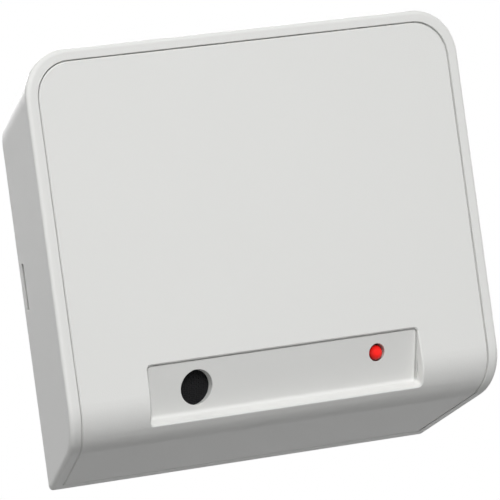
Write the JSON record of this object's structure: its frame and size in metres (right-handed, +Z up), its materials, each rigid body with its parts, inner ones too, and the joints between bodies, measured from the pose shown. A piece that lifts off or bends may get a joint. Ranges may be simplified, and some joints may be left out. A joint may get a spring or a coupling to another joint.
{
  "type": "glass break sensor",
  "caption": "Wall-mounted glass break sensor: tapered white tray with a curved snap-in cover, recessed microphone port and red lamp, and its circuit board inside.",
  "frame": {"origin": "middle of the flat face that lies on the wall, between the two screw slots", "axes": "+Z up, +Y into the wall, so the front faces -Y, and +X to the right as seen from the room"},
  "size_m": [0.0896, 0.0255, 0.0803],
  "materials": {
    "housing": "smooth moulded white, faint sheen",
    "cover": "smooth moulded white, faint sheen",
    "board": "green solder mask over glass fibre",
    "screw": "zinc plated",
    "gauze": "black acoustic cloth",
    "boot": "black soft rubber",
    "can": "drawn can",
    "lead": "tinned",
    "lamp": "tinted clear resin",
    "spacer": "plain",
    "terminal": "moulded",
    "black_case": "moulded",
    "chip": "moulded epoxy",
    "sleeve": "shrunk sleeve",
    "small_part": "ceramic",
    "trimmer": "moulded",
    "rotor": "moulded",
    "switch": "moulded",
    "slider": "moulded",
    "plunger": "moulded",
    "jumper": "moulded"
  },
  "bodies": {
    "sensor": {"wall_base": "housing", "front_cover": "cover", "circuit_board": "board", "board_screws": "screw", "acoustic_gauze": "gauze", "microphone_boot": "boot", "microphone_capsule": "can", "microphone_leads": "lead", "status_lamp": "lamp", "lamp_leads": "lead", "lamp_spacer": "spacer", "terminal_block": "terminal", "terminal_screws": "screw", "terminal_clamps": "lead", "alarm_relay": "black_case", "relay_pins": "lead", "processor_chip": "chip", "amplifier_chip": "chip", "chip_leads": "lead", "supply_capacitor": "sleeve", "capacitor_leads": "lead", "timing_crystal": "can", "small_parts": "small_part", "trimmer_body": "trimmer", "mode_switch_body": "switch", "tamper_switch_body": "black_case", "jumper_header": "black_case", "jumper_cap": "jumper"},
    "tamper_plunger": {"tamper_plunger": "plunger"},
    "trimmer_rotor": {"trimmer_rotor": "rotor"},
    "mode_slider_1": {"mode_slider_1": "slider"},
    "mode_slider_2": {"mode_slider_2": "slider"},
    "mode_slider_3": {"mode_slider_3": "slider"},
    "mode_slider_4": {"mode_slider_4": "slider"}
  },
  "joints": [
    {"name": "tamper_press", "type": "slide", "parent": "sensor", "child": "tamper_plunger", "axis": [0, 1, 0], "range_m": [0, 0.0005], "stiffness_N_per_m": 300, "springref_m": -0.003},
    {"name": "sensitivity_turn", "type": "hinge", "parent": "sensor", "child": "trimmer_rotor", "pos_m": [0.01092, -0.0112, -0.01811], "axis": [0, 1, 0], "range_deg": [-135, 135]},
    {"name": "mode_1_slide", "type": "slide", "parent": "sensor", "child": "mode_slider_1", "axis": [1, 0, 0], "range_m": [0, 0.0018]},
    {"name": "mode_2_slide", "type": "slide", "parent": "sensor", "child": "mode_slider_2", "axis": [1, 0, 0], "range_m": [0, 0.0018]},
    {"name": "mode_3_slide", "type": "slide", "parent": "sensor", "child": "mode_slider_3", "axis": [1, 0, 0], "range_m": [0, 0.0018]},
    {"name": "mode_4_slide", "type": "slide", "parent": "sensor", "child": "mode_slider_4", "axis": [1, 0, 0], "range_m": [0, 0.0018]}
  ]
}
